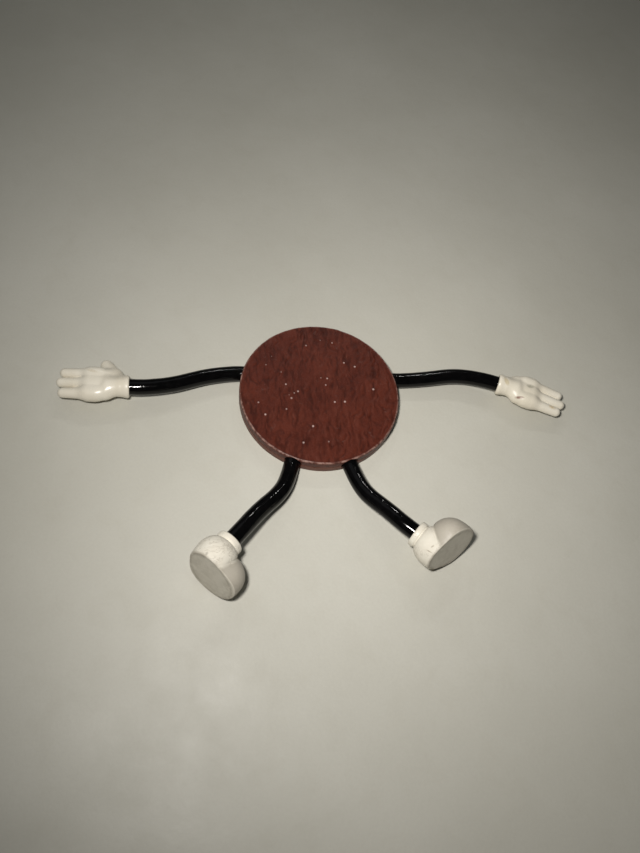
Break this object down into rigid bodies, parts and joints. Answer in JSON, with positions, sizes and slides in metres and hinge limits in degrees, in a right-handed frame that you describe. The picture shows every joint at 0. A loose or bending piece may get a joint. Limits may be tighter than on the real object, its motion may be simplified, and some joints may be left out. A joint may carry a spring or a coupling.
{
  "type": "bendable figure",
  "caption": "Bendable toy figure: round ridged body disc, black tube arms and legs over wire cores, pale gloves and shoes, lying face down.",
  "frame": {"origin": "centre of the body disc's flat front face, which lies on the floor plane", "axes": "+X along the arms to the right in the pose as stored, +Y towards the head end, +Z out of the ridged back"},
  "size_m": [0.1599, 0.0893, 0.0166],
  "materials": {
    "body_back": "semi-gloss moulded vinyl, wavy ridges",
    "body_front": "semi-gloss moulded vinyl",
    "sleeve": "glossy flexible black vinyl",
    "glove": "glossy cream-white vinyl, lightly scuffed",
    "shoe": "worn off-white vinyl, scuffed",
    "wire": "plain drawn wire"
  },
  "bodies": {
    "body": {"body_front_half": "body_front", "body_back_half": "body_back", "arm_wire_in_body": "wire", "leg_wire_in_body": "wire"},
    "left_upper_arm_1": {"left_arm_sleeve_1": "sleeve", "left_arm_wire_1": "wire"},
    "left_upper_arm_2": {"left_arm_sleeve_2": "sleeve", "left_arm_wire_2": "wire"},
    "left_forearm": {"left_arm_sleeve_3": "sleeve", "left_arm_wire_3": "wire"},
    "left_hand": {"left_arm_sleeve_4": "sleeve", "left_arm_wire_4": "wire", "left_glove": "glove"},
    "right_upper_arm_1": {"right_arm_sleeve_1": "sleeve", "right_arm_wire_1": "wire"},
    "right_upper_arm_2": {"right_arm_sleeve_2": "sleeve", "right_arm_wire_2": "wire"},
    "right_forearm": {"right_arm_sleeve_3": "sleeve", "right_arm_wire_3": "wire"},
    "right_hand": {"right_arm_sleeve_4": "sleeve", "right_arm_wire_4": "wire", "right_glove": "glove"},
    "left_thigh_1": {"left_leg_sleeve_1": "sleeve", "left_leg_wire_1": "wire"},
    "left_thigh_2": {"left_leg_sleeve_2": "sleeve", "left_leg_wire_2": "wire"},
    "left_shin": {"left_leg_sleeve_3": "sleeve", "left_leg_wire_3": "wire"},
    "left_foot": {"left_leg_sleeve_4": "sleeve", "left_leg_wire_4": "wire", "left_shoe": "shoe"},
    "right_thigh_1": {"right_leg_sleeve_1": "sleeve", "right_leg_wire_1": "wire"},
    "right_thigh_2": {"right_leg_sleeve_2": "sleeve", "right_leg_wire_2": "wire"},
    "right_shin": {"right_leg_sleeve_3": "sleeve", "right_leg_wire_3": "wire"},
    "right_foot": {"right_leg_sleeve_4": "sleeve", "right_leg_wire_4": "wire", "right_shoe": "shoe"}
  },
  "joints": [
    {"name": "left_shoulder_swing", "type": "hinge", "parent": "body", "child": "left_upper_arm_1", "pos_m": [-0.0256, 0.0067, 0.0028], "axis": [0, 0, -1], "range_deg": [-20, 75]},
    {"name": "left_shoulder_lift", "type": "hinge", "parent": "left_upper_arm_1", "child": "left_upper_arm_2", "pos_m": [-0.035, 0.0046, 0.0035], "axis": [-0.3644, 0.9312, 0], "range_deg": [-45, 45]},
    {"name": "left_elbow_swing", "type": "hinge", "parent": "left_upper_arm_2", "child": "left_forearm", "pos_m": [-0.0442, 0.001, 0.0043], "axis": [0, 0, -1], "range_deg": [-50, 40]},
    {"name": "left_wrist_lift", "type": "hinge", "parent": "left_forearm", "child": "left_hand", "pos_m": [-0.0535, -0.0012, 0.0051], "axis": [-0.0767, 0.9971, 0], "range_deg": [-45, 45]},
    {"name": "right_shoulder_swing", "type": "hinge", "parent": "body", "child": "right_upper_arm_1", "pos_m": [0.0258, 0.0069, 0.0028], "axis": [0, 0, 1], "range_deg": [-35, 55]},
    {"name": "right_shoulder_lift", "type": "hinge", "parent": "right_upper_arm_1", "child": "right_upper_arm_2", "pos_m": [0.0355, 0.0078, 0.0033], "axis": [0.1115, -0.9938, 0], "range_deg": [-45, 45]},
    {"name": "right_elbow_swing", "type": "hinge", "parent": "right_upper_arm_2", "child": "right_forearm", "pos_m": [0.0453, 0.0089, 0.004], "axis": [0, 0, 1], "range_deg": [-30, 60]},
    {"name": "right_wrist_lift", "type": "hinge", "parent": "right_forearm", "child": "right_hand", "pos_m": [0.0545, 0.0073, 0.0049], "axis": [-0.3231, -0.9463, 0], "range_deg": [-45, 45]},
    {"name": "left_hip_swing", "type": "hinge", "parent": "body", "child": "left_thigh_1", "pos_m": [-0.009, -0.0247, 0.0028], "axis": [0, 0, -1], "range_deg": [-20, 45]},
    {"name": "left_hip_lift", "type": "hinge", "parent": "left_thigh_1", "child": "left_thigh_2", "pos_m": [-0.0116, -0.0326, 0.005], "axis": [-0.7725, 0.635, 0], "range_deg": [-45, 45]},
    {"name": "left_knee_bend", "type": "hinge", "parent": "left_thigh_2", "child": "left_shin", "pos_m": [-0.0176, -0.0399, 0.0073], "axis": [-0.7797, 0.6261, 0], "range_deg": [-45, 45]},
    {"name": "left_ankle_bend", "type": "hinge", "parent": "left_shin", "child": "left_foot", "pos_m": [-0.0229, -0.0465, 0.0089], "axis": [-0.7775, 0.6289, 0], "range_deg": [-45, 45]},
    {"name": "right_hip_swing", "type": "hinge", "parent": "body", "child": "right_thigh_1", "pos_m": [0.009, -0.0247, 0.0028], "axis": [0, 0, 1], "range_deg": [-20, 45]},
    {"name": "right_hip_lift", "type": "hinge", "parent": "right_thigh_1", "child": "right_thigh_2", "pos_m": [0.012, -0.0322, 0.0041], "axis": [-0.7518, -0.6594, 0], "range_deg": [-45, 45]},
    {"name": "right_knee_bend", "type": "hinge", "parent": "right_thigh_2", "child": "right_shin", "pos_m": [0.017, -0.0379, 0.0056], "axis": [-0.7274, -0.6862, 0], "range_deg": [-45, 45]},
    {"name": "right_ankle_bend", "type": "hinge", "parent": "right_shin", "child": "right_foot", "pos_m": [0.022, -0.0432, 0.007], "axis": [-0.6715, -0.741, 0], "range_deg": [-45, 45]}
  ]
}
